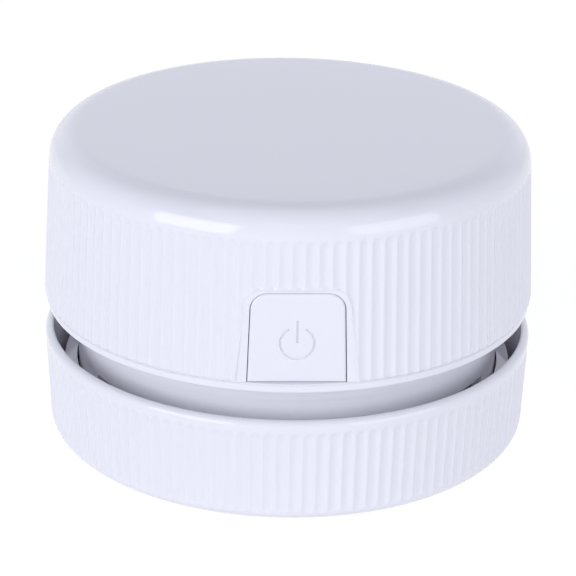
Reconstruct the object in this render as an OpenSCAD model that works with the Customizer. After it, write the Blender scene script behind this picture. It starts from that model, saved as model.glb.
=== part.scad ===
// Desktop mini vacuum cleaner: a round dust cup, a motor housing that stands in it with an open
// exhaust gap between them, and a cap with a push button that lifts off the housing.
// Millimetres. +Z is up, the button faces -Y, and the origin is the middle of the feet's footprint.

/* [Outside] */
// Diameter where the cap meets the lip, and at the cup's rim
body_d = 83; // [80:0.5:90]
// Height of the cap above the lip
cap_h = 28.7; // [27.5:0.1:36]
// How much smaller the cap's radius is at its top edge
cap_draft = 1.2; // [0.5:0.1:2]
// Radius of the cap's top edge
cap_edge_r = 5.1; // [3:0.1:6.5]
// Wall of the cap
cap_wall = 1.8; // [1.4:0.1:2.2]
// Height of the plain lip ring under the cap
lip_h = 1.25; // [1:0.05:2]
// Open height between the lip and the cup's rim
gap_h = 5.15; // [4:0.05:7]
// Height of the dust cup without its feet
cup_h = 18.3; // [18:0.1:24]
// Wall of the dust cup's skirt at its rim
cup_wall = 1.4; // [1.2:0.1:1.8]
// How much smaller the cup's radius is at its foot
cup_draft = 0.65; // [0.3:0.05:1.2]
// Radius of the cup's bottom edge
cup_edge_r = 3; // [2:0.1:4]
// Depth of the recess around the housing's core
recess = 5.6; // [5:0.1:6.4]

/* [Cup] */
// Floor of the cup
floor_t = 1.6; // [1.4:0.1:2.2]
// Height of the feet under the floor
foot_h = 1; // [0.8:0.1:1.6]
// Diameter of a foot
foot_d = 8; // [6:0.5:10]
// Length of the inlet slot
inlet_l = 38; // [30:1:44]
// Width of the inlet slot
inlet_w = 9.6; // [8:0.2:12]
// Height of the dust guard round the inlet, above the floor
guard_h = 3.4; // [2:0.1:4]
// Height of the ledge for the seal above the floor
ledge_h = 5.2; // [5:0.1:8]
// Thickness of the seal ring
seal_t = 1; // [0.8:0.1:1.4]
// Turn of the bayonet between release and lock
lock_turn = 20; // [12:1:25]

/* [Air path] */
// Thickness of the filter's flange
filter_flange_t = 1.2; // [1:0.1:1.6]
// Thickness of the fan cover
fan_cover_t = 1.2; // [1:0.1:1.6]
// Height of the fan chamber
fan_room = 5.6; // [5:0.1:7]
// Radius of the fan
fan_r = 24; // [20:0.5:26]
// Radius of the fan cover's eye
eye_r = 8; // [7:0.5:10]
// Blades of the fan
blade_n = 9; // [6:1:11]
// Deck that carries the motor
deck_t = 1.6; // [1.4:0.1:2]

/* [Motor] */
// Diameter of the motor's can
can_d = 24.2; // [22:0.2:24.4]
// Length of the motor's can
can_l = 26.9; // [24:0.1:28]
// Wall of the motor's can
can_wall = 1; // [0.8:0.1:1.2]
// Diameter of the motor's shaft
shaft_d = 2; // [2:0.1:2.4]

/* [Cells and switch] */
// Diameter of an AA cell
cell_d = 14.2; // [13.8:0.1:14.5]
// Length of an AA cell with its button end
cell_l = 50; // [49:0.1:50.5]
// Length of a cell spring as fitted
spring_l = 3.5; // [3.2:0.1:4]
// Tray that carries the cells and the switch
tray_t = 1.8; // [1.4:0.1:2]
// Side of the square switch body
switch_w = 8.5; // [7:0.1:8.6]
// Depth of the switch body
switch_l = 8.6; // [8:0.1:9]
// Width of the button's face at its foot
button_w = 15.6; // [14:0.1:17]
// Height of the button's face
button_h = 15.3; // [14:0.1:17]
// Travel of the button
button_travel = 1.5; // [1:0.1:1.8]

/* [Hidden] */
$fn = 96;

slip = 0.3;      // clearance of pieces that slide or turn on each other
snug = 0.1;      // clearance of pieces that are fitted once
running = 0.03;  // radial clearance of the shaft in its bushes
body_r = body_d / 2;

// Heights
cup_z = foot_h;
floor_z = cup_z + floor_t;
rim_z = cup_z + cup_h;
lip_z = rim_z + gap_h;
seam_z = lip_z + lip_h;
top_z = seam_z + cap_h;
ledge_z = floor_z + ledge_h;
flange_z = ledge_z + seal_t;
core_z = flange_z + filter_flange_t;
fan_cover_z = core_z + 1.2;
fan_z = fan_cover_z + fan_cover_t;
deck_z = fan_z + fan_room;
can_z = deck_z + deck_t;
can_top_z = can_z + can_l;
tray_z = seam_z + tray_t;

// Radii
lip_r = body_r - 0.48;
core_r = body_r - recess;
core_wall = 1.8;
core_in_r = core_r - core_wall;
collar_r = core_r + slip;
collar_wall = 2;
ledge_in_r = core_in_r - 1.1;
can_r = can_d / 2;
shaft_r = shaft_d / 2;

// Cap: the drafted wall meets the top edge's round tangentially
cap_edge_z = top_z - cap_edge_r;
cap_slope = atan(cap_draft / (cap_edge_z - seam_z));
function cap_r(z) = body_r - (z - seam_z) * tan(cap_slope);
cap_edge_c = cap_r(cap_edge_z) - cap_edge_r / cos(cap_slope);
seam_round = 0.4;

// Cup: the same for its bottom edge
cup_edge_z = cup_z + cup_edge_r;
cup_slope = atan(cup_draft / (rim_z - cup_edge_z));
function cup_r(z) = body_r - (rim_z - z) * tan(cup_slope);
cup_edge_c = cup_r(cup_edge_z) - cup_edge_r / cos(cup_slope);
rim_round = 1.1;

// Button: a flat tab in a flat facet of the cap; depths are measured forward from the axis
facet_y = body_r - 1.5;
facet_h = button_h + 1;
facet_top_w = button_w + 1.3;
facet_foot_w = button_w + 4.1;
facet_corner = 3.2;
button_taper = 0.4;
button_corner = 2.7;
button_gap = 0.22;
pad_y = facet_y - cap_wall;
button_lip = 1.2;
button_lip_t = 0.8;
button_face_y = facet_y + 0.1;
button_back_y = pad_y - slip;
button_foot_z = seam_z + 0.2;
guide_half_w = facet_foot_w / 2 + 1.2;
symbol_r = 2.75;
symbol_line = 0.35;
symbol_deep = 0.2;
symbol_open = 35;
symbol_bar = [0.4, 4.2];
symbol_z = button_h * 0.43;

// Housing spigot that centres the cap
spigot_r = cap_r(seam_z) - cap_wall - 0.45;
spigot_wall = 1.2;
spigot_h = 3;
tray_r = spigot_r - spigot_wall - slip;

// Bayonet: lugs on the core turn in pockets of the cup's collar
lug_n = 3;
lug_first = 30;
lug_turn = 10;
lug_z = core_z + 0.4;
lug_h = 1.4;
lug_out = 0.9;
pocket_slack = 1.2;
collar_z = lug_z + lug_h + 1.3;

// Exhaust windows in the core, between its posts
window_n = 4;
window_turn = 36;
window_z = collar_z + 0.2;
window_top_z = lip_z - 8.55;

// Feet and brushes
foot_at = cup_edge_c - foot_d / 2 - 0.9;
foot_sunk = 0.6;
channel_half_w = 1.2;
channel_h = 1.8;
channel_wall = 1.2;
guard_wall = 1.2;
brush_at = inlet_w / 2 + 1.9;
brush_half_l = inlet_l / 2 + 2;
brush_tip_z = 0.3;

// Posts and screws
post_n = 4;
post_r = 3;
post_at = core_in_r - 4.5;
screw_r = 1;
head_r = 2;
head_h = 1;
tray_post_turns = [0, 90, 180];
motor_screw_at = 8;
motor_screw_r = 0.8;
motor_head_r = 1.2;
motor_head_h = 0.6;

// Fan and motor
hub_r = 3.4;
fan_plate_t = 0.9;
blade_t = 1;
fan_foot_z = fan_z + 0.7;
fan_top_z = deck_z - 1;
press = 0.02;
nose_r = 3.1;
nose_h = 1.5;
nose_wall = 0.8;
bush_in_r = shaft_r + running;
end_cap_t = 2.4;
rear_bush_r = 2.5;
magnet_in_r = can_r - can_wall - 2.6;
magnet_half_turn = 62;
armature_r = magnet_in_r - 0.4;
armature_z = can_z + 5.5;
armature_l = can_l - 14;
pole_n = 3;
pole_w = 2.8;
pole_shoe_t = 1.6;
coil_t = 1.6;
commutator_r = 2.4;
commutator_l = 3.4;
commutator_gap = 1.2;

// Cells, their contacts and springs
cell_r = cell_d / 2;
cell_x = can_r + cell_r + 0.8;
cell_z = tray_z + 0.2 + cell_r;
nub_r = 2.7;
nub_l = 1;
contact_t = 0.5;
contact_y = (cell_l + spring_l) / 2;
contact_w = 9.6;
contact_top_z = cell_z + 6;
spring_wire = 0.6;
spring_turns = 3;
spring_big_r = 4.4;
spring_small_r = 2.4;

// Switch behind the button
switch_z = button_foot_z + button_h / 2;
plunger_w = 3.2;
stem_r = 2.2;
plunger_out = 5;
switch_y = facet_y - 9;
plunger_tip_y = switch_y + plunger_out;
stub = 3;
switch_wall = 1.2;
switch_wire = 0.35;
pin_l = 2.4;
pin_x = 2.4;
pin_y = switch_y - switch_l - pin_l;

// Leads
lead_r = 0.65;
lead_gap = 0.25;
terminal_x = 6.8;
terminal_t = 0.5;
terminal_w = 2.6;
terminal_top_z = can_top_z + 3.2;
lead_z = terminal_top_z - 1.1;
tab_x = cell_x - 3.4;
tab_z = contact_top_z + 1.6;

// ---- Shared shapes ----

// A ring with a flat top and bottom
module ring(r_out, r_in, h) {
  difference() {
    cylinder(r = r_out, h = h);
    translate([0, 0, -1]) cylinder(r = r_in, h = h + 2);
  }
}

// A sector of the plane, from one angle to another, less than 180 degrees
module sector2d(r, from, to) {
  far = r / cos((to - from) / 2);
  polygon([[0, 0], far * [cos(from), sin(from)],
    far / cos((to - from) / 2) * [cos((from + to) / 2), sin((from + to) / 2)],
    far * [cos(to), sin(to)]]);
}

// Part of a ring, from one angle to another
module ring_part(r_out, r_in, from, to, h) {
  linear_extrude(h) intersection() {
    difference() { circle(r_out); circle(r_in); }
    sector2d(r_out, from, to);
  }
}

// A round-cornered tab standing on its foot: width w0 at the foot and w1 at the top
module tab2d(w0, w1, h, r) {
  polygon([[-w0 / 2, 0], [w0 / 2, 0], [w1 / 2, h - r], [w1 / 2 - r, h], [r - w1 / 2, h], [-w1 / 2, h - r]]);
  for (s = [-1, 1]) translate([s * (w1 / 2 - r), h - r]) circle(r);
}

// Stands a flat outline up facing the front, from one distance in front of the axis to another
module upright(near, far) {
  translate([0, -near, 0]) rotate([90, 0, 0]) linear_extrude(far - near) children();
}

// A cross-head screw, head up, with its seat at z = 0
module screw(l, r, r_head, h_head) {
  difference() {
    union() {
      cylinder(r = r_head, h = h_head);
      translate([0, 0, -l]) cylinder(r = r, h = l + 0.1);
    }
    for (a = [0, 90]) rotate([0, 0, a])
      translate([-r_head * 0.6, -r_head * 0.12, h_head * 0.5]) cube([r_head * 1.2, r_head * 0.24, h_head]);
  }
}

// Tube of flat facets along points; the frame of each ring is carried along from the one before
function unit(v) = v / norm(v);
function tangent(p, i) = unit(p[min(i + 1, len(p) - 1)] - p[max(i - 1, 0)]);
function square_to(v, t) = unit(v - (v * t) * t);
function frames(p, i, n) = i >= len(p) ? [] :
  let (t = tangent(p, i), m = square_to(n, t)) concat([[t, m]], frames(p, i + 1, m));
function wall_pair(a, b, up) = [[a, a + up, b], [b, a + up, b + up]];
function across(t) = abs(t[2]) < 0.8 ? [0, 0, 1] : [1, 0, 0];
module tube(p, r, sides) {
  f = frames(p, 0, square_to(across(tangent(p, 0)), tangent(p, 0)));
  rings = [for (i = [0 : len(p) - 1]) for (k = [0 : sides - 1])
    let (a = 360 * k / sides, b = cross(f[i][0], f[i][1])) p[i] + r * (cos(a) * f[i][1] + sin(a) * b)];
  last = (len(p) - 1) * sides;
  walls = [for (i = [0 : len(p) - 2]) for (k = [0 : sides - 1])
    each wall_pair(i * sides + k, i * sides + (k + 1) % sides, sides)];
  ends = [for (k = [1 : sides - 2]) each [[0, k, k + 1], [last, last + k + 1, last + k]]];
  polyhedron(rings, concat(walls, ends));
}

// Smooth curve through points chosen by hand
function smooth_point(a, b, c, d, t) = 0.5 * (2 * b + (c - a) * t + (2 * a - 5 * b + 4 * c - d) * t * t
  + (3 * b - a - 3 * c + d) * t * t * t);
function smooth(p, n) = concat([for (i = [0 : len(p) - 2]) for (k = [0 : n - 1])
  smooth_point(p[max(i - 1, 0)], p[i], p[i + 1], p[min(i + 2, len(p) - 1)], k / n)], [p[len(p) - 1]]);

// ---- Dust cup and what stays with it ----

module cup_outline() {
  rim_c = cup_r(rim_z - rim_round) - rim_round;
  polygon([[0, cup_z], [cup_edge_c, cup_z],
    [cup_edge_c + cup_edge_r * cos(cup_slope), cup_edge_z - cup_edge_r * sin(cup_slope)],
    [rim_c + rim_round, rim_z - rim_round], [rim_c, rim_z], [0, rim_z]]);
  translate([cup_edge_c, cup_edge_z]) circle(cup_edge_r);
  translate([rim_c, rim_z - rim_round]) circle(rim_round);
}

module cup_hollow() {
  polygon([[0, floor_z], [cup_edge_c, floor_z], [cup_r(floor_z + 2) - cup_wall, floor_z + 2],
    [cup_r(rim_z + 1) - cup_wall, rim_z + 1], [0, rim_z + 1]]);
}

// An entry from above, then room to turn under the collar's top
module bayonet_pocket() {
  half = lug_turn / 2 + pocket_slack;
  translate([0, 0, lug_z - slip]) {
    ring_part(collar_r + lug_out + 0.1, collar_r - 1, -half, half, 10);
    ring_part(collar_r + lug_out + 0.1, collar_r - 1, 0, half + lock_turn, lug_h + 2 * slip);
  }
}

module dust_cup() {
  sink = 0.2;
  seat_half_l = brush_half_l + channel_wall;
  seat_half_w = brush_at + channel_half_w + channel_wall;
  guard = [inlet_l + 2 * guard_wall, inlet_w + 2 * guard_wall, guard_h];
  color("white") difference() {
    union() {
      rotate_extrude() difference() { cup_outline(); cup_hollow(); }
      // collar that the core stands in, with the seal's ledge inside it
      translate([0, 0, floor_z - sink]) ring(collar_r + collar_wall, collar_r, collar_z - floor_z + sink);
      translate([0, 0, floor_z - sink]) ring(collar_r + sink, ledge_in_r, ledge_h + sink);
      // thicker floor over the brushes, and the dust guard round the inlet
      translate([-seat_half_l, -seat_half_w, floor_z - sink])
        cube([2 * seat_half_l, 2 * seat_half_w, channel_wall + sink]);
      translate([-guard[0] / 2, -guard[1] / 2, floor_z]) cube(guard);
    }
    translate([-inlet_l / 2, -inlet_w / 2, 0]) cube([inlet_l, inlet_w, floor_z + guard_h + 1]);
    for (s = [-1, 1]) translate([-brush_half_l, s * brush_at - channel_half_w, 0])
      cube([2 * brush_half_l, 2 * channel_half_w, cup_z + channel_h]);
    for (i = [0 : lug_n - 1]) rotate([0, 0, lug_first + i * 360 / lug_n]) bayonet_pocket();
    for (a = [45 : 90 : 315]) rotate([0, 0, a])
      translate([foot_at, 0, 0]) cylinder(r = foot_d / 2 + snug, h = cup_z + foot_sunk);
  }
}

module feet() {
  bevel = 0.4;
  color("dimgray") for (a = [45 : 90 : 315]) rotate([0, 0, a]) translate([foot_at, 0, 0]) {
    cylinder(r1 = foot_d / 2 - bevel, r2 = foot_d / 2, h = bevel);
    translate([0, 0, bevel]) cylinder(r = foot_d / 2, h = foot_h + foot_sunk - bevel);
  }
}

// A strip of bristles in its backing, under one long side of the inlet
module brush(side) {
  backing_t = 1.3;
  backing_z = cup_z + channel_h - backing_t;
  backing_half = [brush_half_l - snug, channel_half_w - snug];
  tuft_half = [brush_half_l - 1, 0.7];
  color("gray") translate([0, side * brush_at, 0]) {
    translate([-backing_half[0], -backing_half[1], backing_z])
      cube([2 * backing_half[0], 2 * backing_half[1], backing_t]);
    translate([-tuft_half[0], -tuft_half[1], brush_tip_z])
      cube([2 * tuft_half[0], 2 * tuft_half[1], backing_z + 0.1 - brush_tip_z]);
  }
}
module brush_front() { brush(-1); }
module brush_rear() { brush(1); }

module seal_ring() {
  color("silver") translate([0, 0, ledge_z]) ring(core_r - snug, ledge_in_r + 0.4, seal_t);
}

// ---- Filter ----

filter_out_r = core_in_r - slip;
filter_in_r = filter_out_r - 1.6;
filter_top_z = flange_z + filter_flange_t;
mesh_t = 0.45;
mesh_z = filter_top_z - mesh_t - 0.05;
mesh_rebate = 0.2;

module filter_frame() {
  hub = 8;
  hub_wall = 1.6;
  rib = 1.4;
  color("whitesmoke") difference() {
    union() {
      translate([0, 0, flange_z]) ring(core_r - snug, filter_in_r, filter_flange_t);
      translate([0, 0, flange_z]) ring(filter_out_r, filter_in_r, filter_flange_t + 1);
      translate([0, 0, flange_z]) ring(hub, hub - hub_wall, filter_flange_t);
      for (a = [0 : 45 : 315]) rotate([0, 0, a])
        translate([hub - 1, -rib / 2, flange_z]) cube([filter_in_r - hub + 1.2, rib, filter_flange_t]);
    }
    translate([0, 0, mesh_z]) cylinder(r = filter_in_r + mesh_rebate, h = filter_top_z - mesh_z);
  }
}

module filter_mesh() {
  color("gray") translate([0, 0, mesh_z]) cylinder(r = filter_in_r + mesh_rebate - 0.05, h = mesh_t);
}

// ---- Motor housing and fan ----

module at_posts() {
  for (i = [0 : post_n - 1]) rotate([0, 0, i * 360 / post_n]) translate([post_at, 0, 0]) children();
}

module at_tray_posts() {
  for (a = tray_post_turns) rotate([0, 0, a]) translate([post_at, 0, 0]) children();
}

module motor_housing() {
  step = 0.4;
  step_z = lip_z - 3.75;
  edge = 0.3;
  pilot = 4.5;
  color("white") difference() {
    union() {
      rotate_extrude() {
        polygon([[core_in_r, core_z], [core_r, core_z], [core_r, step_z - step / 2], [core_r + step, step_z],
          [core_r + step, lip_z], [lip_r, lip_z], [lip_r, seam_z - edge], [lip_r - edge, seam_z],
          [core_in_r, seam_z]]);
        translate([spigot_r - spigot_wall, seam_z - 0.2]) square([spigot_wall, spigot_h + 0.2]);
      }
      translate([0, 0, deck_z]) cylinder(r = core_in_r + 0.2, h = deck_t);
      for (i = [0 : lug_n - 1]) rotate([0, 0, lug_first + i * 360 / lug_n]) translate([0, 0, lug_z])
        ring_part(collar_r + lug_out - slip, core_r - 0.5, -lug_turn / 2, lug_turn / 2, lug_h);
      at_posts() translate([0, 0, fan_z]) cylinder(r = post_r, h = deck_z - fan_z + 0.2);
      at_tray_posts() translate([0, 0, can_z - 0.2]) cylinder(r = post_r, h = seam_z - can_z + 0.2);
    }
    // exhaust windows between the posts
    for (i = [0 : window_n - 1]) rotate([0, 0, (i + 0.5) * 360 / window_n]) translate([0, 0, window_z])
      ring_part(core_r + 1, core_in_r - 1, -window_turn / 2, window_turn / 2, window_top_z - window_z);
    // front gap in the spigot for the button and the cap's flat pad
    translate([-guide_half_w, -body_r, seam_z]) cube([2 * guide_half_w, 8, spigot_h + 1]);
    // screw pilots
    at_posts() translate([0, 0, fan_z - 1]) cylinder(r = screw_r + press, h = pilot + 1);
    at_tray_posts() translate([0, 0, seam_z - pilot]) cylinder(r = screw_r + press, h = pilot + 1);
    // the motor's nose and its screws
    translate([0, 0, deck_z - 1]) cylinder(r = nose_r + snug, h = deck_t + 2);
    for (s = [-1, 1]) translate([s * motor_screw_at, 0, deck_z - 1])
      cylinder(r = motor_screw_r + snug, h = deck_t + 2);
  }
}

module fan_cover() {
  color("whitesmoke") translate([0, 0, fan_cover_z]) difference() {
    cylinder(r = core_in_r - snug, h = fan_cover_t);
    translate([0, 0, -1]) cylinder(r = eye_r, h = fan_cover_t + 2);
    at_posts() translate([0, 0, -1]) cylinder(r = screw_r + snug, h = fan_cover_t + 2);
  }
}

module fan_cover_screws() {
  color("silver") at_posts() translate([0, 0, fan_cover_z]) mirror([0, 0, 1])
    screw(fan_cover_t + 4, screw_r, head_r, head_h);
}

// Back plate, hub and backward-curved blades, each blade an arc of a ring
module impeller() {
  blade_arc = fan_r * 0.62;
  bore_z = fan_foot_z + 0.8;
  color("whitesmoke") difference() {
    union() {
      translate([0, 0, fan_top_z - fan_plate_t]) cylinder(r = fan_r, h = fan_plate_t);
      translate([0, 0, fan_foot_z]) cylinder(r = hub_r, h = fan_top_z - fan_foot_z);
      translate([0, 0, fan_foot_z]) linear_extrude(fan_top_z - fan_plate_t - fan_foot_z + 0.1)
        for (i = [0 : blade_n - 1]) rotate(i * 360 / blade_n) intersection() {
          translate([blade_arc, 0]) difference() { circle(blade_arc); circle(blade_arc - blade_t); }
          difference() { circle(fan_r - 0.5); circle(eye_r + 0.5); }
          square([fan_r, fan_r]);
        }
    }
    translate([0, 0, bore_z]) cylinder(r = shaft_r + press, h = fan_room);
  }
}

// ---- Motor ----

module motor_can() {
  color("silver") difference() {
    union() {
      translate([0, 0, can_z]) cylinder(r = can_r, h = can_l);
      translate([0, 0, can_z - nose_h]) cylinder(r = nose_r, h = nose_h + 0.1);
    }
    translate([0, 0, can_z + can_wall]) cylinder(r = can_r - can_wall, h = can_l);
    translate([0, 0, can_z - nose_h - 1]) cylinder(r = nose_r - nose_wall, h = nose_h + can_wall + 2);
    for (s = [-1, 1]) translate([s * motor_screw_at, 0, can_z - 1])
      cylinder(r = motor_screw_r + press, h = can_wall + 2);
  }
}

module motor_magnets() {
  color("dimgray") for (a = [0, 180]) rotate([0, 0, a]) translate([0, 0, armature_z - 1])
    ring_part(can_r - can_wall - press, magnet_in_r, -magnet_half_turn, magnet_half_turn, armature_l + 2);
}

module motor_bushes() {
  color("goldenrod") {
    translate([0, 0, can_z - nose_h]) ring(nose_r - nose_wall - press, bush_in_r, nose_h + can_wall + 0.6);
    translate([0, 0, can_top_z - end_cap_t + 0.4]) ring(rear_bush_r - press, bush_in_r, 2.6);
  }
}

module motor_end_cap() {
  slot = [terminal_t + 2 * press, terminal_w + 2 * press, end_cap_t + 2];
  color("ivory") difference() {
    union() {
      translate([0, 0, can_top_z - end_cap_t]) cylinder(r = can_r - can_wall - press, h = end_cap_t);
      translate([0, 0, can_top_z - 0.1]) cylinder(r = rear_bush_r + 1.1, h = 1.3);
    }
    translate([0, 0, can_top_z - end_cap_t - 1]) cylinder(r = shaft_r + 0.4, h = 4);
    translate([0, 0, can_top_z - end_cap_t + 0.4]) cylinder(r = rear_bush_r, h = 10);
    for (s = [-1, 1])
      translate([s * terminal_x - slot[0] / 2, -slot[1] / 2, can_top_z - end_cap_t - 1]) cube(slot);
  }
}

// Each terminal goes on inside as the arm that brushes the commutator
module motor_terminals() {
  arm_t = 0.3;
  arm_x = commutator_r + 0.12;
  foot_z = can_top_z - end_cap_t;
  color("gold") for (a = [0, 180]) rotate([0, 0, a]) {
    translate([terminal_x - terminal_t / 2, -terminal_w / 2, foot_z - arm_t])
      cube([terminal_t, terminal_w, terminal_top_z - foot_z + arm_t]);
    translate([arm_x, -1, foot_z - arm_t]) cube([terminal_x - arm_x, 2, arm_t]);
    translate([arm_x, -1, foot_z - 4]) cube([arm_t, 2, 4]);
  }
}

module motor_screws() {
  color("silver") for (s = [-1, 1]) translate([s * motor_screw_at, 0, deck_z]) mirror([0, 0, 1])
    screw(deck_t + can_wall + 0.8, motor_screw_r, motor_head_r, motor_head_h);
}

module motor_shaft() {
  foot = fan_foot_z + 0.9;
  color("silver") translate([0, 0, foot]) cylinder(r = shaft_r, h = can_top_z + 1 - foot);
}

module armature() {
  hub = 3;
  shoe_half_turn = 48;
  color("darkgray") translate([0, 0, armature_z]) difference() {
    linear_extrude(armature_l) {
      circle(hub);
      for (i = [0 : pole_n - 1]) rotate(90 + i * 360 / pole_n) {
        translate([0, -pole_w / 2]) square([armature_r - 1, pole_w]);
        intersection() {
          difference() { circle(armature_r); circle(armature_r - pole_shoe_t); }
          sector2d(armature_r, -shoe_half_turn, shoe_half_turn);
        }
      }
    }
    translate([0, 0, -1]) cylinder(r = shaft_r + press, h = armature_l + 2);
  }
}

// One flat coil round the stem of each pole
module armature_winding() {
  slot_w = pole_w + 2 * snug;
  slot_l = armature_l + 2 * press;
  wide = slot_w + 2 * coil_t;
  over = 0.9;
  near = 3.3;
  far = armature_r - pole_shoe_t - 1.2;
  color("chocolate") for (i = [0 : pole_n - 1]) rotate([0, 0, 90 + i * 360 / pole_n])
    translate([near, 0, armature_z]) difference() {
      translate([0, -wide / 2, -over]) cube([far - near, wide, armature_l + 2 * over]);
      translate([-1, -slot_w / 2, -press]) cube([armature_r, slot_w, slot_l]);
    }
}

module commutator() {
  color("peru") translate([0, 0, armature_z + armature_l + commutator_gap])
    ring(commutator_r, shaft_r + press, commutator_l);
}

// ---- Battery tray, cells and contacts ----

module cell_place(side) { translate([side * cell_x, 0, cell_z]) children(); }

module battery_tray() {
  wall = 1.2;
  wall_y = contact_y + contact_t + snug / 2;
  foot = tray_z - 0.1;
  saddle_t = 2;
  saddle_at = 16;
  saddle_half_w = cell_r + slip;
  seat_half_w = switch_w / 2 + 0.5;
  color("gainsboro") difference() {
    intersection() {
      union() {
        translate([0, 0, seam_z]) cylinder(r = tray_r, h = tray_t);
        for (s = [-1, 1]) {
          // saddles under the cell, and a wall outside each contact
          for (y = [-saddle_at, saddle_at]) translate([s * cell_x - saddle_half_w, y - saddle_t / 2, foot])
            cube([2 * saddle_half_w, saddle_t, cell_z - tray_z]);
          for (e = [-1, 1]) translate([s * cell_x - cell_r, e * (wall_y + wall / 2) - wall / 2, foot])
            cube([2 * cell_r, wall, contact_top_z - tray_z]);
          // side walls of the switch's seat
          translate([s * (switch_w / 2 + snug + wall / 2) - wall / 2, -switch_y, foot])
            cube([wall, switch_l, switch_z - tray_z + 2]);
        }
        translate([-seat_half_w, -switch_y, foot])
          cube([2 * seat_half_w, switch_l, switch_z - switch_w / 2 - foot]);
      }
      cylinder(r = tray_r, h = top_z);
    }
    for (s = [-1, 1]) cell_place(s) rotate([90, 0, 0])
      cylinder(r = cell_r + 0.15, h = 2 * contact_y, center = true);
    // room for the motor, the pressed button and the screws
    translate([0, 0, seam_z - 1]) cylinder(r = can_r + 0.5, h = 40);
    translate([-guide_half_w, -body_r, seam_z - 1])
      cube([2 * guide_half_w, body_r - button_back_y + button_lip_t + button_travel + 0.6, 40]);
    at_tray_posts() translate([0, 0, seam_z - 1]) cylinder(r = screw_r + snug, h = tray_t + 2);
  }
}

module tray_screws() {
  color("silver") at_tray_posts() translate([0, 0, tray_z]) screw(tray_t + 4, screw_r, head_r, head_h);
}

// A cell lying along Y, its button end towards +Y unless it is turned
module cell(side, turned) {
  color("steelblue") cell_place(side) rotate([turned, 0, 0]) {
    translate([0, contact_y - nub_l, 0]) rotate([90, 0, 0]) cylinder(r = cell_r, h = cell_l - nub_l);
    translate([0, contact_y, 0]) rotate([90, 0, 0]) cylinder(r = nub_r, h = nub_l + 0.1);
  }
}
module cell_left() { cell(-1, 0); }
module cell_right() { cell(1, 180); }

// A coil along +Y whose radius goes from one end's to the other's
function coil_point(t, r0, r1, l, wire, turns) = let (r = r0 + (r1 - r0) * t)
  [r * cos(360 * turns * t), wire / 2 + (l - wire) * t, r * sin(360 * turns * t)];
function coil(r0, r1, l, wire, turns) =
  [for (i = [0 : 8 * turns]) coil_point(i / (8 * turns), r0, r1, l, wire, turns)];
function self_gap(p, wire) = min([for (i = [0 : len(p) - 1]) for (k = [i + 6 : 1 : len(p) - 1])
  norm(p[i] - p[k]) - wire]);

cell_coil = coil(spring_big_r, spring_small_r, spring_l, spring_wire, spring_turns);
switch_coil = coil(1.2, 1.2, switch_l - switch_wall - stub, switch_wire, 5);
echo(str("least gap of a cell spring to itself, mm: ", self_gap(cell_coil, spring_wire)));
echo(str("least gap of the switch spring to itself, mm: ", self_gap(switch_coil, switch_wire)));

// Conical spring between a contact and the flat end of a cell, its big end on the contact
module cell_spring(side, end) {
  color("silver") cell_place(side) translate([0, end * contact_y, 0]) rotate([end > 0 ? 180 : 0, 0, 0])
    tube(cell_coil, spring_wire / 2, 6);
}
module spring_left() { cell_spring(-1, -1); }
module spring_right() { cell_spring(1, 1); }

// A sheet contact standing on the tray against its end wall
module contact_plate(x0, x1, end) {
  intersection() {
    translate([x0, end > 0 ? contact_y : -contact_y - contact_t, tray_z])
      cube([x1 - x0, contact_t, contact_top_z - tray_z]);
    // its corners stay over the tray
    cylinder(r = tray_r, h = top_z);
  }
}

module bridge_contact() {
  color("silver") contact_plate(-cell_x - contact_w / 2, cell_x + contact_w / 2, 1);
}

module end_contact(side) {
  tab = [2.4, contact_t, 2.6];
  color("silver") {
    contact_plate(side * cell_x - contact_w / 2, side * cell_x + contact_w / 2, -1);
    translate([side * tab_x - tab[0] / 2, -contact_y - contact_t, contact_top_z - 0.1]) cube(tab);
  }
}
module contact_left() { end_contact(-1); }
module contact_right() { end_contact(1); }

// ---- Switch and button ----

module switch_body() {
  color("dimgray") difference() {
    translate([-switch_w / 2, -switch_y, switch_z - switch_w / 2]) cube([switch_w, switch_l, switch_w]);
    translate([-plunger_w / 2 - 0.2, -switch_y - 1, switch_z - plunger_w / 2 - 0.2])
      cube([plunger_w + 0.4, switch_l - switch_wall + 1, plunger_w + 0.4]);
  }
}

module switch_plunger() {
  color("white") translate([-plunger_w / 2, -plunger_tip_y, switch_z - plunger_w / 2])
    cube([plunger_w, plunger_out + stub, plunger_w]);
}

module switch_spring() {
  color("silver") translate([0, -switch_y + stub, switch_z]) tube(switch_coil, switch_wire / 2, 6);
}

module switch_pins() {
  color("gold") for (s = [-1, 1])
    translate([s * pin_x - 0.4, -switch_y + switch_l, switch_z - 0.4]) cube([0.8, pin_l, 0.8]);
}

module button_outline(grow) {
  tab2d(button_w + 2 * grow, button_w - 2 * button_taper + 2 * grow, button_h + grow, button_corner + grow);
}

// A plain ring, open at the top, with an upright line in the opening
module power_symbol() {
  translate([0, symbol_z]) {
    difference() {
      circle(symbol_r + symbol_line / 2);
      circle(symbol_r - symbol_line / 2);
      sector2d(2 * symbol_r, 90 - symbol_open, 90 + symbol_open);
    }
    translate([-symbol_line / 2, symbol_bar[0]]) square([symbol_line, symbol_bar[1] - symbol_bar[0]]);
  }
}

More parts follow.
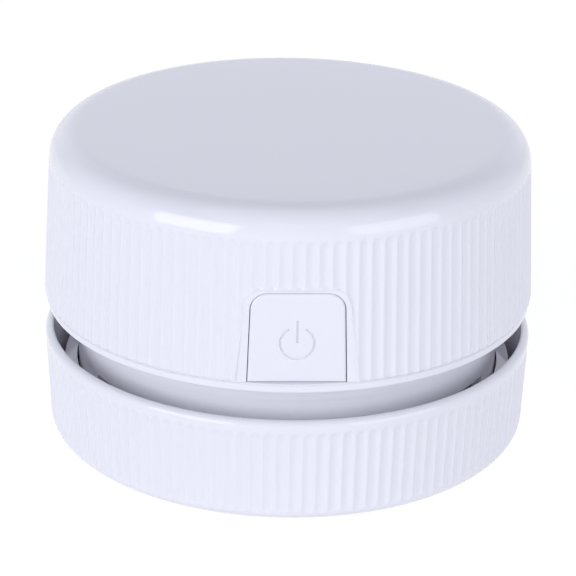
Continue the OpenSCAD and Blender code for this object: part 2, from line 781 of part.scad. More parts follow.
module power_button() {
  color("white") difference() {
    union() {
      translate([0, 0, button_foot_z]) upright(button_back_y - 0.1, button_face_y) button_outline(0);
      // rim that the cap holds in, kept inside the cap's wall
      intersection() {
        translate([0, 0, button_foot_z])
          upright(button_back_y - button_lip_t, button_back_y) button_outline(button_lip);
        translate([0, 0, seam_z]) cylinder(r1 = cap_r(seam_z) - cap_wall - snug,
          r2 = cap_r(cap_edge_z) - cap_wall - snug, h = cap_edge_z - seam_z);
      }
      // stem that pushes the plunger
      translate([0, -button_back_y, switch_z]) rotate([-90, 0, 0])
        cylinder(r = stem_r, h = button_back_y - plunger_tip_y);
    }
    translate([0, 0, button_foot_z]) upright(button_face_y - symbol_deep, body_r) power_symbol();
  }
}

// ---- Leads ----

red_route = [[tab_x, lead_gap - contact_y, tab_z], [tab_x, 1.6 - contact_y, tab_z],
  [tab_x - 1, 5 - contact_y, tab_z + 2], [tab_x - 3, -16, can_top_z], [terminal_x + 4, -5, lead_z],
  [terminal_x + 1.9, 0, lead_z], [terminal_x + terminal_t / 2 + lead_gap, 0, lead_z]];
black_route = [[-tab_x, lead_gap - contact_y, tab_z], [-tab_x, 1.6 - contact_y, tab_z],
  [-13, -22.5, tab_z + 1.2], [-8, -19, tab_z - 0.9], [-4.4, -17.4, switch_z + 3.5],
  [-pin_x, 1.6 - pin_y, switch_z], [-pin_x, lead_gap - pin_y, switch_z]];
blue_route = [[pin_x, lead_gap - pin_y, switch_z], [pin_x, 1.6 - pin_y, switch_z],
  [pin_x, -16.2, switch_z + 3], [1.5, -15.2, switch_z + 8.5], [-1.5, -14.4, can_top_z - 0.3],
  [-6, -11, lead_z], [-9.6, -4, lead_z + 0.2], [-terminal_x - 1.9, 0, lead_z],
  [-terminal_x - terminal_t / 2 - lead_gap, 0, lead_z]];

module lead(points) { tube(smooth(points, 3), lead_r, 8); }
module lead_red() { color("firebrick") lead(red_route); }
module lead_black() { color("black") lead(black_route); }
module lead_blue() { color("royalblue") lead(blue_route); }

// ---- Cap ----

module cap_outline() {
  foot_c = cap_r(seam_z + seam_round) - seam_round;
  polygon([[0, seam_z], [foot_c, seam_z], [foot_c + seam_round, seam_z + seam_round],
    [cap_edge_c + cap_edge_r * cos(cap_slope), cap_edge_z + cap_edge_r * sin(cap_slope)],
    [cap_edge_c, top_z], [0, top_z]]);
  translate([foot_c, seam_z + seam_round]) circle(seam_round);
  translate([cap_edge_c, cap_edge_z]) circle(cap_edge_r);
}

module cap_hollow() {
  inner = cap_edge_r - cap_wall;
  polygon([[0, seam_z - 1], [cap_r(seam_z - 1) - cap_wall, seam_z - 1],
    [cap_edge_c + inner * cos(cap_slope), cap_edge_z + inner * sin(cap_slope)],
    [cap_edge_c, top_z - cap_wall], [0, top_z - cap_wall]]);
  translate([cap_edge_c, cap_edge_z]) circle(inner);
}

module top_cap() {
  color("white") difference() {
    rotate_extrude() cap_outline();
    // the hollow stops at a flat pad behind the button's facet
    intersection() {
      rotate_extrude() cap_hollow();
      translate([-body_r, -pad_y, 0]) cube([2 * body_r, 2 * body_r, top_z]);
    }
    upright(facet_y, body_r + 1) {
      translate([0, seam_z]) tab2d(facet_foot_w, facet_top_w, facet_h, facet_corner);
      translate([-facet_foot_w / 2, seam_z - 1]) square([facet_foot_w, 1.1]);
    }
    upright(pad_y - 1, body_r + 1) {
      translate([0, button_foot_z]) button_outline(button_gap);
      translate([-button_w / 2 - button_gap, seam_z - 1]) square([button_w + 2 * button_gap, 1.3]);
    }
  }
}

dust_cup();
feet();
brush_front();
brush_rear();
seal_ring();
filter_frame();
filter_mesh();
motor_housing();
fan_cover();
fan_cover_screws();
impeller();
motor_shaft();
armature();
armature_winding();
commutator();
motor_can();
motor_magnets();
motor_bushes();
motor_end_cap();
motor_terminals();
motor_screws();
battery_tray();
tray_screws();
cell_left();
cell_right();
spring_left();
spring_right();
bridge_contact();
contact_left();
contact_right();
switch_body();
switch_plunger();
switch_spring();
switch_pins();
power_button();
lead_red();
lead_black();
lead_blue();
top_cap();
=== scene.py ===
# Desktop mini vacuum cleaner: finishes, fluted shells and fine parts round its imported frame. Lengths in millimetres
# become metres with the factor mm.
import bpy
import bmesh
import math
import numpy as np
from mathutils import Matrix, Vector


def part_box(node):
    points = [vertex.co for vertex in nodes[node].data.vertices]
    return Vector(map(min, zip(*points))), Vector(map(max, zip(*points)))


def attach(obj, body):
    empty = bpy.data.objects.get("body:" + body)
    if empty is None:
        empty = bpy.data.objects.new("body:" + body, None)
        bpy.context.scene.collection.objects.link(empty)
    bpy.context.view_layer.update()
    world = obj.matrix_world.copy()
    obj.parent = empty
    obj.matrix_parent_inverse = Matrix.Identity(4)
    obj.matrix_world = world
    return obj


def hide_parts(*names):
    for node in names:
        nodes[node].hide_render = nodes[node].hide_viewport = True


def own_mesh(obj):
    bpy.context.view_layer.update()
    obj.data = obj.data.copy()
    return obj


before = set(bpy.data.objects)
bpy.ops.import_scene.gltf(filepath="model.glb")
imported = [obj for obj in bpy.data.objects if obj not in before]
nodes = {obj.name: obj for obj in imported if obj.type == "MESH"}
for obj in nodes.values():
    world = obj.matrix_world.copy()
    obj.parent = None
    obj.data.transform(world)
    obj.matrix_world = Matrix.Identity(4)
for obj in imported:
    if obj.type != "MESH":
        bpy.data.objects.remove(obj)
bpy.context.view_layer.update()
scene = bpy.context.scene
mm = 0.001
fullTurn = 2 * math.pi

capLow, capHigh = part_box("top_cap")
cupLow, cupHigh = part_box("dust_cup")
seamHeight = capLow.z
seamMiddle = Vector((0, 0, seamHeight))
bodyRadius = capHigh.x
print("frame loaded:", len(nodes), "nodes")


def linear(hexColour):
    # an sRGB hex colour as linear red, green, blue and alpha
    parts = [int(hexColour[i:i + 2], 16) / 255 for i in (1, 3, 5)]
    return [c / 12.92 if c <= 0.04045 else ((c + 0.055) / 1.055) ** 2.4 for c in parts] + [1.0]


def addNode(tree, kind, inputs=None, **settings):
    # a shader node, by its kind without ShaderNode, with its settings; an input is a value, another node's output, or
    # a node, whose first output it takes
    node = tree.nodes.new("ShaderNode" + kind)
    for name, value in settings.items():
        setattr(node, name, value)
    for name, value in (inputs or {}).items():
        if isinstance(value, bpy.types.Node):
            value = value.outputs[0]
        if isinstance(value, bpy.types.NodeSocket):
            tree.links.new(value, node.inputs[name])
        else:
            node.inputs[name].default_value = value
    return node


def shaded(colour, factor):
    # the same colour with that share of its brightness
    return [c * factor for c in colour[:3]] + [1.0]


def newMaterial(name):
    # an empty material, its node tree and the piece's own coordinates
    material = bpy.data.materials.new(name)
    material.use_nodes = True
    tree = material.node_tree
    tree.nodes.clear()
    return material, tree, addNode(tree, "TexCoord").outputs["Object"]


def perSize(size):
    # the scale of a pattern whose features are that many millimetres across
    return 1 / (size * mm)


def makeMesh(name, skin):
    # one mesh from a skin, which is an array of points and arrays of triangles or larger faces; a closed skin whose
    # volume comes out below nought is turned inside out
    points, groups = np.asarray(skin[0], float).reshape(-1, 3), skin[1]
    volume = sum(np.sum(points[g[:, 0]] * np.cross(points[g[:, k]], points[g[:, k + 1]]))
        for g in groups for k in range(1, g.shape[1] - 1))
    if volume < 0:
        groups = [g[:, ::-1] for g in groups]
    corners = np.concatenate([g.ravel() for g in groups]).astype(np.int32)
    sizes = np.concatenate([np.full(len(g), g.shape[1]) for g in groups])
    starts = np.concatenate([[0], np.cumsum(sizes)[:-1]]).astype(np.int32)
    mesh = bpy.data.meshes.new(name)
    mesh.vertices.add(len(points))
    mesh.vertices.foreach_set("co", points.astype(np.float32).ravel())
    mesh.loops.add(len(corners))
    mesh.loops.foreach_set("vertex_index", corners)
    mesh.polygons.add(len(sizes))
    mesh.polygons.foreach_set("loop_start", starts)
    mesh.update(calc_edges=True)
    mesh.validate()
    mesh.shade_smooth()
    return mesh


def addObject(name, data):
    thing = bpy.data.objects.new(name, data)
    scene.collection.objects.link(thing)
    return thing


def addPiece(name, skin):
    return addObject(name, makeMesh(name, skin))


def sharpen(mesh, degrees=35):
    # edges that turn more than this stay sharp
    mesh.set_sharp_from_angle(angle=math.radians(degrees))


def bridge(low, high):
    # faces between two rings of point numbers: equal rings give quads, and a finer ring meets one with a whole
    # fraction of its points, or a single point, in fans
    if len(low) == len(high):
        return [np.stack([low, np.roll(low, -1), np.roll(high, -1), high], -1)]
    if len(low) < len(high):
        return [g[:, ::-1] for g in bridge(high, low)]
    step = len(low) // len(high)
    nearest = high[((np.arange(len(low)) + step // 2) // step) % len(high)]
    fans = np.stack([low, np.roll(low, -1), nearest], -1)
    if len(high) == 1:
        return [fans]
    last = np.flatnonzero(nearest != np.roll(nearest, -1))
    return [fans, np.stack([np.roll(low, -1)[last], np.roll(nearest, -1)[last], nearest[last]], -1)]


def ringSkin(rings, closed=False):
    # a skin over rings of points that follow each other along a path
    rings = [np.asarray(r, float).reshape(-1, 3) for r in rings]
    starts = np.cumsum([0] + [len(r) for r in rings])
    numbers = [np.arange(a, b) for a, b in zip(starts[:-1], starts[1:])]
    pairs = list(zip(numbers[:-1], numbers[1:])) + ([(numbers[-1], numbers[0])] if closed else [])
    return np.concatenate(rings), [g for a, b in pairs for g in bridge(a, b)]


def joined(skins):
    # several skins as one
    offsets = np.cumsum([0] + [len(points) for points, _ in skins])
    return np.concatenate([p for p, _ in skins]), [g + o for (_, gs), o in zip(skins, offsets) for g in gs]


def capOff(ring):
    # the middle of a ring, which closes it
    return np.mean(ring, axis=0, keepdims=True)


def spin(profile, turns):
    # each (radius, height) of a profile carried round the upright axis: x = r cos a, y = r sin a
    profile = np.asarray(profile, float)
    rings = []
    for radius, height in profile:
        angles = turns if radius > 0 else turns[:1]
        rings.append(np.stack([radius * np.cos(angles), radius * np.sin(angles), np.full(len(angles), height)], -1))
    return rings


def arc(centre, radius, start, end, count):
    # points of a round from one angle to another, in degrees
    a = np.radians(np.linspace(start, end, count))
    return np.stack([centre[0] + radius * np.cos(a), centre[1] + radius * np.sin(a)], -1)


def capped(rings):
    # a skin over rings whose first and last are closed by their middles
    return ringSkin([capOff(rings[0]), *rings, capOff(rings[-1])])


def tubeSkin(path, radius, sides, reference):
    # a round section carried along a path: each ring lies square to the path's direction there, p + r (cos a n +
    # sin a b), with n and b square to the path and n also square to the reference
    path = np.asarray(path, float)
    along = np.gradient(path, axis=0)
    along /= np.linalg.norm(along, axis=1, keepdims=True)
    first = np.cross(along, reference)
    first /= np.linalg.norm(first, axis=1, keepdims=True)
    second = np.cross(along, first)
    a = np.linspace(0, fullTurn, sides, endpoint=False)
    ring = np.cos(a)[None, :, None] * first[:, None] + np.sin(a)[None, :, None] * second[:, None]
    return capped(path[:, None] + radius * ring)


def boxSkin(low, high, bevel):
    # a block whose upper and lower edges are bevelled
    low, high = np.array(low, float), np.array(high, float)
    corners = np.array([(0, 0), (1, 0), (1, 1), (0, 1)])
    rings = []
    for height, inset in ((low[2], bevel), (low[2] + bevel, 0), (high[2] - bevel, 0), (high[2], bevel)):
        flat = low[:2] + inset + corners * (high[:2] - low[:2] - 2 * inset)
        rings.append(np.concatenate([flat, np.full((4, 1), height)], 1))
    return capped(rings)


def cut(piece, tool, operation="DIFFERENCE"):
    # piece with the tool's solid taken out of it, or with INTERSECT all but it; the tool is used up
    modifier = piece.modifiers.new("cut", "BOOLEAN")
    modifier.operation = operation
    modifier.solver = "EXACT"
    modifier.object = tool
    bpy.context.view_layer.update()
    result = bpy.data.meshes.new_from_object(piece.evaluated_get(bpy.context.evaluated_depsgraph_get()))
    piece.modifiers.clear()
    old = piece.data
    piece.data = result
    bpy.data.meshes.remove(old)
    toolMesh = tool.data
    bpy.data.objects.remove(tool)
    bpy.data.meshes.remove(toolMesh)


def setMaterial(piece, material):
    piece.data.materials.clear()
    piece.data.materials.append(material)


def finishPiece(piece, body, material, replaced):
    # its looks, the body it rides on and the imported nodes that it stands for
    setMaterial(piece, material)
    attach(piece, body)
    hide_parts(*replaced)


def directionTo(azimuth, elevation):
    # from the object towards a place that many degrees round from the button's side and up
    turn, rise = math.radians(azimuth), math.radians(elevation)
    return Vector((math.sin(turn) * math.cos(rise), -math.cos(turn) * math.cos(rise), math.sin(rise)))


view = {
    "azimuth": -2.3,       # degrees round from the button's side
    "elevation": 23.0,
    "distance": 430.6,     # mm from the middle of the seam
    "lens": 157.2,         # mm, before a sensor of the next width
    "sensor": 36,
    "roll": 0.98,          # degrees, lowering the right side of the picture
    "aim": (0, 0, -1.0),   # mm from the middle of the seam, the point looked at
}


def makeCamera():
    data = bpy.data.cameras.new("camera")
    data.lens = view["lens"]
    data.sensor_width = view["sensor"]
    data.clip_start, data.clip_end = 0.01, 20    # metres
    camera = addObject("camera", data)
    back = directionTo(view["azimuth"], view["elevation"])
    aim = seamMiddle + Vector(view["aim"]) * mm
    camera.location = seamMiddle + back * view["distance"] * mm
    facing = (aim - camera.location).to_track_quat("-Z", "Y").to_matrix()
    camera.rotation_euler = (facing @ Matrix.Rotation(math.radians(view["roll"]), 3, "Z")).to_euler()
    scene.camera = camera


makeCamera()
print("camera placed")


light = {
    "horizon": 0.82,        # sky strength near the horizon
    "zenith": 0.0,          # and straight up
    "fall": (0.3, 0.95),    # sine of the elevation where it starts and stops falling
    # soft lobes added to it: the way to their middle, the cosine of the angle from there at which each has its full
    # strength, the one at which it ends, and that strength
    "lobes": [
        {"way": (0.04, 0.94, 0.34), "full": 0.94, "end": 0.72, "strength": 0.44},     # behind the object
        {"way": (0.02, -0.42, 0.91), "full": 0.87, "end": 0.82, "strength": 0.53},    # high over its front
    ],
    "tint": (0.945, 0.975, 1.065),
    "boxes": [              # softboxes: azimuth from the camera's, elevation, width and height in degrees
        {"azimuth": -44, "elevation": 16, "wide": 38, "high": 33, "radiance": 2.7},
        {"azimuth": 50, "elevation": 16, "wide": 42, "high": 33, "radiance": 1.45},
    ],
    "boxDistance": 1.3,     # metres
    "floorHex": "#F4F4F6",
    "floorGlow": 0.8,       # share of plain white in the floor that the camera sees
    "floorWhite": 1.12,     # strength of that white
    "floorBounce": 0.18,    # how much of that also lights the object
    "floorSize": 6.0,       # metres
}


def makeLight():
    for number, box in enumerate(light["boxes"]):
        away = directionTo(box["azimuth"] + view["azimuth"], box["elevation"])
        data = bpy.data.lights.new(f"softbox{number}", "AREA")
        data.shape = "RECTANGLE"
        data.size = 2 * light["boxDistance"] * math.tan(math.radians(box["wide"] / 2))
        data.size_y = 2 * light["boxDistance"] * math.tan(math.radians(box["high"] / 2))
        data.energy = box["radiance"] * math.pi * data.size * data.size_y
        data.color = light["tint"]
        lamp = addObject(data.name, data)
        lamp.location = seamMiddle + away * light["boxDistance"]
        lamp.rotation_euler = away.to_track_quat("Z", "Y").to_euler()
        lamp.visible_camera = False


def makeWorld():
    # pale near the horizon and dark straight up, with the lobes added, and plain white where the camera sees it
    world = bpy.data.worlds.new("studio")
    scene.world = world
    world.use_nodes = True
    tree = world.node_tree
    tree.nodes.clear()
    direction = addNode(tree, "TexCoord")
    parts = addNode(tree, "SeparateXYZ", {"Vector": direction.outputs["Generated"]})
    total = addNode(tree, "MapRange", {"Value": parts.outputs["Z"], "From Min": light["fall"][0],
        "From Max": light["fall"][1], "To Min": light["horizon"], "To Max": light["zenith"]},
        interpolation_type="SMOOTHSTEP")
    for form in light["lobes"]:
        along = addNode(tree, "VectorMath", {0: direction.outputs["Generated"], 1: form["way"]},
            operation="DOT_PRODUCT")
        lobe = addNode(tree, "MapRange", {"Value": along.outputs["Value"], "From Min": form["end"],
            "From Max": form["full"], "To Max": form["strength"]}, interpolation_type="SMOOTHSTEP")
        total = addNode(tree, "Math", {0: total, 1: lobe}, operation="ADD")
    sky = addNode(tree, "Background", {"Color": (*light["tint"], 1), "Strength": total})
    white = addNode(tree, "Background", {"Color": (1, 1, 1, 1), "Strength": 1.0})
    rays = addNode(tree, "LightPath")
    mixed = addNode(tree, "MixShader", {"Fac": rays.outputs["Is Camera Ray"], 1: sky, 2: white})
    addNode(tree, "OutputWorld", {"Surface": mixed})


def makeFloor():
    # a white sweep: part of what the camera or a reflection sees is plain white, and the rest takes the shadow
    half = light["floorSize"] / 2
    floor = addPiece("floor", ([(-half, -half, 0), (half, -half, 0), (half, half, 0), (-half, half, 0)],
        [np.array([[0, 1, 2, 3]])]))
    material, tree, _ = newMaterial("paperSweepMatt")
    paper = addNode(tree, "BsdfDiffuse", {"Color": linear(light["floorHex"])})
    glow = addNode(tree, "Emission", {"Color": (1, 1, 1, 1), "Strength": light["floorWhite"]})
    rays = addNode(tree, "LightPath")
    seen = addNode(tree, "Math", {0: rays.outputs["Is Camera Ray"], 1: rays.outputs["Is Glossy Ray"]},
        operation="MAXIMUM")
    seenThrough = addNode(tree, "Math", {0: seen, 1: rays.outputs["Is Transmission Ray"]}, operation="MAXIMUM")
    bounced = addNode(tree, "Math", {0: seenThrough, 1: light["floorBounce"]}, operation="MAXIMUM")
    share = addNode(tree, "Math", {0: bounced, 1: light["floorGlow"]}, operation="MULTIPLY")
    mixed = addNode(tree, "MixShader", {"Fac": share, 1: paper, 2: glow})
    # from below it isn't seen
    side = addNode(tree, "NewGeometry")
    clear = addNode(tree, "BsdfTransparent")
    oneSided = addNode(tree, "MixShader", {"Fac": side.outputs["Backfacing"], 1: mixed, 2: clear})
    addNode(tree, "OutputMaterial", {"Surface": oneSided})
    floor.data.materials.append(material)


makeLight()
makeWorld()
makeFloor()
scene.view_settings.view_transform = "Standard"
print("studio lit")


def mouldedPlastic(name, hexColour, roughness, grain=0.5, grainDepth=0.004, ior=1.53, tone=0.02):
    # injection-moulded plastic: faint tool texture breaks up the gloss, and the colour drifts a little as it flowed
    material, tree, place = newMaterial(name)
    flow = addNode(tree, "TexNoise", {"Vector": place, "Scale": perSize(14), "Detail": 2.0})
    fine = addNode(tree, "TexNoise", {"Vector": place, "Scale": perSize(grain), "Detail": 3.0})
    base = linear(hexColour)
    colour = addNode(tree, "Mix", {"Factor": flow.outputs["Fac"], 6: shaded(base, 1 - tone), 7: base},
        data_type="RGBA")
    gloss = addNode(tree, "MapRange", {"Value": fine.outputs["Fac"], "From Min": 0.3, "From Max": 0.7,
        "To Min": roughness * 0.9, "To Max": roughness * 1.1})
    relief = addNode(tree, "Bump", {"Height": fine.outputs["Fac"], "Strength": 0.15, "Distance": grainDepth * mm})
    surface = addNode(tree, "BsdfPrincipled", {"Base Color": colour.outputs[2],
        "Roughness": gloss, "IOR": ior, "Normal": relief})
    addNode(tree, "OutputMaterial", {"Surface": surface})
    return material


def rubber(name, hexColour, roughness, clear=0.0):
    # moulded elastomer: soft broad sheen and a fine dusty grain
    material, tree, place = newMaterial(name)
    dust = addNode(tree, "TexNoise", {"Vector": place, "Scale": perSize(0.35), "Detail": 4.0})
    base = linear(hexColour)
    dusty = [min(1, c * 1.25 + 0.01) for c in base[:3]] + [1.0]
    amount = addNode(tree, "MapRange", {"Value": dust.outputs["Fac"], "From Min": 0.45, "From Max": 0.75,
        "To Min": 0.0, "To Max": 0.6})
    colour = addNode(tree, "Mix", {"Factor": amount, 6: base, 7: dusty}, data_type="RGBA")
    relief = addNode(tree, "Bump", {"Height": dust.outputs["Fac"], "Strength": 0.3, "Distance": 0.02 * mm})
    surface = addNode(tree, "BsdfPrincipled", {"Base Color": colour.outputs[2], "Roughness": roughness,
        "IOR": 1.45, "Transmission Weight": clear, "Normal": relief})
    addNode(tree, "OutputMaterial", {"Surface": surface})
    return material


def sheetMetal(name, hexColour, roughness, stretch=(1, 1, 1), grain=0.3, grainDepth=0.006, blotch=0.15):
    # plated or stamped metal: fine drawn lines along one way and slightly uneven brightness
    material, tree, place = newMaterial(name)
    drawn = addNode(tree, "Mapping", {"Vector": place, "Scale": stretch})
    lines = addNode(tree, "TexNoise", {"Vector": drawn.outputs["Vector"], "Scale": perSize(grain), "Detail": 4.0})
    patches = addNode(tree, "TexNoise", {"Vector": place, "Scale": perSize(4), "Detail": 2.0})
    base = linear(hexColour)
    colour = addNode(tree, "Mix", {"Factor": patches.outputs["Fac"], 6: shaded(base, 1 - blotch),
        7: base}, data_type="RGBA")
    gloss = addNode(tree, "MapRange", {"Value": lines.outputs["Fac"], "From Min": 0.3, "From Max": 0.7,
        "To Min": roughness * 0.75, "To Max": roughness * 1.25})
    relief = addNode(tree, "Bump", {"Height": lines.outputs["Fac"], "Strength": 0.25, "Distance": grainDepth * mm})
    surface = addNode(tree, "BsdfPrincipled", {"Base Color": colour.outputs[2], "Metallic": 1.0,
        "Roughness": gloss, "Normal": relief})
    addNode(tree, "OutputMaterial", {"Surface": surface})
    return material


def sintered(name, hexColour, metallic, roughness, poreSize):
    # pressed and fired powder: small pores over a matt ground, painted darker inside as painted shade
    material, tree, place = newMaterial(name)
    pores = addNode(tree, "TexVoronoi", {"Vector": place, "Scale": perSize(poreSize)})
    depth = addNode(tree, "MapRange", {"Value": pores.outputs["Distance"], "From Min": 0.05, "From Max": 0.35})
    base = linear(hexColour)
    # the deeper into a pore, the darker the colour: painted shade in the pores, while the bump gives their depth
    colour = addNode(tree, "Mix", {"Factor": depth, 6: shaded(base, 0.45), 7: base}, data_type="RGBA")
    relief = addNode(tree, "Bump", {"Height": depth, "Strength": 0.5, "Distance": 0.03 * mm})
    surface = addNode(tree, "BsdfPrincipled", {"Base Color": colour.outputs[2], "Metallic": metallic,
        "Roughness": roughness, "Normal": relief})
    addNode(tree, "OutputMaterial", {"Surface": surface})
    return material


def laminatedSteel(name, hexColour, sheet):
    # punched steel sheets stacked along the shaft: dark joints between them, drawn two pi sheets apart, as they are
    # too fine to show otherwise
    material, tree, place = newMaterial(name)
    joints = addNode(tree, "TexWave", {"Vector": place, "Scale": perSize(sheet) / 20, "Distortion": 0.0},
        wave_type="BANDS", bands_direction="Z", wave_profile="SIN")
    line = addNode(tree, "MapRange", {"Value": joints.outputs["Fac"], "From Min": 0.0, "From Max": 0.25})
    base = linear(hexColour)
    colour = addNode(tree, "Mix", {"Factor": line, 6: shaded(base, 0.35), 7: base}, data_type="RGBA")
    relief = addNode(tree, "Bump", {"Height": line, "Strength": 0.6, "Distance": 0.05 * mm})
    surface = addNode(tree, "BsdfPrincipled", {"Base Color": colour.outputs[2], "Metallic": 1.0,
        "Roughness": 0.42, "Normal": relief})
    addNode(tree, "OutputMaterial", {"Surface": surface})
    return material


def thread(name, hexColour, roughness, sheen):
    # drawn nylon: slightly milky, with a soft edge light
    material, tree, place = newMaterial(name)
    shade = addNode(tree, "TexNoise", {"Vector": place, "Scale": perSize(0.8), "Detail": 3.0})
    base = linear(hexColour)
    colour = addNode(tree, "Mix", {"Factor": shade.outputs["Fac"], 6: shaded(base, 0.7), 7: base}, data_type="RGBA")
    surface = addNode(tree, "BsdfPrincipled", {"Base Color": colour.outputs[2], "Roughness": roughness,
        "IOR": 1.53, "Sheen Weight": sheen})
    addNode(tree, "OutputMaterial", {"Surface": surface})
    return material


def cellWrap(name, filmHex, bandHex, metalHex, filmEnds, bandEnds):
    # shrunk PVC film round a steel can: a plain band at one end, and bare bright metal at both ends
    material, tree, place = newMaterial(name)
    along = addNode(tree, "SeparateXYZ", {"Vector": place}).outputs["Y"]

    def between(ends):
        # 1 between those two distances along the cell, and 0 past them
        low, high = sorted(ends)
        after = addNode(tree, "Math", {0: along, 1: low}, operation="GREATER_THAN")
        before = addNode(tree, "Math", {0: along, 1: high}, operation="LESS_THAN")
        return addNode(tree, "Math", {0: after, 1: before}, operation="MULTIPLY")

    shrink = addNode(tree, "TexNoise", {"Vector": place, "Scale": perSize(3), "Detail": 2.0})
    film = addNode(tree, "Mix", {"Factor": between(bandEnds), 6: linear(filmHex), 7: linear(bandHex)},
        data_type="RGBA")
    relief = addNode(tree, "Bump", {"Height": shrink.outputs["Fac"], "Strength": 0.3, "Distance": 0.05 * mm})
    wrapped = addNode(tree, "BsdfPrincipled", {"Base Color": film.outputs[2], "Roughness": 0.24,
        "IOR": 1.54, "Normal": relief})
    bare = addNode(tree, "BsdfPrincipled", {"Base Color": linear(metalHex), "Metallic": 1.0, "Roughness": 0.28})
    mixed = addNode(tree, "MixShader", {"Fac": between(filmEnds), 1: bare, 2: wrapped})
    addNode(tree, "OutputMaterial", {"Surface": mixed})
    return material


finish = {
    # glossy white shells: even, cool white with soft-edged reflections
    "shell": mouldedPlastic("absMouldedGlossWhite", "#ECEBF1", 0.08, grain=0.7, tone=0.012),
    # inside parts from the same plastic off a plainer tool: matt and a little darker
    "inner": mouldedPlastic("absMouldedMattWhite", "#DFE0E2", 0.42, grain=0.25, grainDepth=0.012),
    "fan": mouldedPlastic("polypropyleneMouldedGrey", "#C9CCD0", 0.36, grain=0.3, ior=1.49),
    "nylon": mouldedPlastic("nylonMouldedIvory", "#E6E0CF", 0.4, grain=0.3, ior=1.53),
    "switch": mouldedPlastic("pbtMouldedBlack", "#1B1B1D", 0.38, grain=0.2, grainDepth=0.01, ior=1.57, tone=0.1),
    "plunger": mouldedPlastic("acetalMouldedWhite", "#E9E9E6", 0.3, grain=0.3, ior=1.48),
    "redLead": mouldedPlastic("pvcExtrudedRed", "#B01217", 0.34, grain=0.4, ior=1.54, tone=0.1),
    "blackLead": mouldedPlastic("pvcExtrudedBlack", "#161617", 0.34, grain=0.4, ior=1.54, tone=0.1),
    "blueLead": mouldedPlastic("pvcExtrudedBlue", "#1B3F9C", 0.34, grain=0.4, ior=1.54, tone=0.1),
    "feet": rubber("nitrileMouldedGrey", "#3E3F41", 0.62),
    "seal": rubber("siliconeMouldedClear", "#C9CACC", 0.45, clear=0.25),
    "bristle": thread("nylonDrawnBristle", "#8D8E92", 0.38, 0.3),
    "mesh": thread("nylonWovenScreen", "#6B6E73", 0.42, 0.3),
    "zinc": sheetMetal("steelZincPlated", "#C9CBD0", 0.26, grain=0.4),
    "can": sheetMetal("steelDrawnNickelPlated", "#BFC0C3", 0.24, stretch=(1, 1, 0.12), grain=0.35),
    "spring": sheetMetal("springSteelNickelPlated", "#CFCBC2", 0.2, grain=0.2),
    "strip": sheetMetal("steelStampedNickelPlated", "#CBC7BE", 0.25, stretch=(0.15, 1, 1), grain=0.3),
    "brass": sheetMetal("brassStamped", "#D3AE62", 0.25, stretch=(1, 1, 0.15), grain=0.3),
    "shaft": sheetMetal("steelGroundBright", "#C4C6CA", 0.16, stretch=(1, 1, 8), grain=0.3, blotch=0.05),
    "copper": sheetMetal("copperWireEnamelled", "#B5552A", 0.3, grain=0.4),
    "segments": sheetMetal("copperPressedBright", "#C97B52", 0.28, stretch=(1, 1, 4), grain=0.2),
    "bush": sintered("bronzeSintered", "#B08A4E", 1.0, 0.48, 0.18),
    "magnet": sintered("ferriteSintered", "#2B2B2E", 0.0, 0.6, 0.3),
    "stack": laminatedSteel("steelPunchedLaminated", "#8E9094", 0.5),
}
plainNodes = {
    "motor_housing": "shell", "feet": "feet", "seal_ring": "seal", "filter_frame": "inner", "fan_cover": "inner",
    "fan_cover_screws": "zinc", "impeller": "fan", "motor_shaft": "shaft", "armature": "stack",
    "commutator": "segments", "motor_can": "can", "motor_magnets": "magnet", "motor_bushes": "bush",
    "motor_end_cap": "nylon", "motor_terminals": "brass", "motor_screws": "zinc", "battery_tray": "inner",
    "tray_screws": "zinc", "bridge_contact": "strip", "contact_left": "strip", "contact_right": "strip",
    "switch_body": "switch", "switch_plunger": "plunger", "switch_pins": "brass",
}
for node, kind in plainNodes.items():
    setMaterial(nodes[node], finish[kind])
print("materials made:", len(finish))


flutes = {
    "count": 122,
    "depth": 0.35,        # mm
    "share": 0.86,        # groove's part of the pitch; the rest is the ridge
    "soft": 0.25,         # rounding where groove and ridge meet, as a share of the depth
    "fadeGain": 1.6,      # how fast a groove ends
    # where the mesh has its points, as shares of the pitch: closer on the ridges
    "steps": [-0.43, -0.37, -0.27, -0.14, 0, 0.14, 0.27, 0.37, 0.43, 0.475, 0.5, 0.525],
}
fluteTurns = ((np.arange(flutes["count"])[:, None] + np.array(flutes["steps"])[None]).ravel() / flutes["count"]
    * fullTurn - math.pi / 2)
plainTurns = fluteTurns[::4]    # for plain surfaces that meet the fluted ones


def fluteDepth(turns, fade):
    # each groove is a parabola across its width, minus a fade that grows towards its ends; where that falls below
    # nought the surface rounds over into the ridge: d = D (t + sqrt(t^2 + s^2)) / 2
    across = (turns + math.pi / 2) * flutes["count"] / fullTurn
    across = (across - np.round(across)) / (flutes["share"] / 2)
    trough = 1 - across ** 2 - fade
    return flutes["depth"] * mm * (trough + np.sqrt(trough ** 2 + flutes["soft"] ** 2)) / 2


def endFade(height, start, reach):
    # nought up to start, then the square of the way past it, so that each groove ends in a small arch
    return flutes["fadeGain"] * (np.clip((height - start) / reach, 0, None)) ** 2


def fluted(outline, fade):
    # the fluted part of a shell: each (radius, height) of its outline, less the groove's depth at each turn
    radii = outline[:, :1] - fluteDepth(fluteTurns[None], fade)
    return list(np.stack([radii * np.cos(fluteTurns), radii * np.sin(fluteTurns),
        np.broadcast_to(outline[:, 1:], radii.shape)], -1))


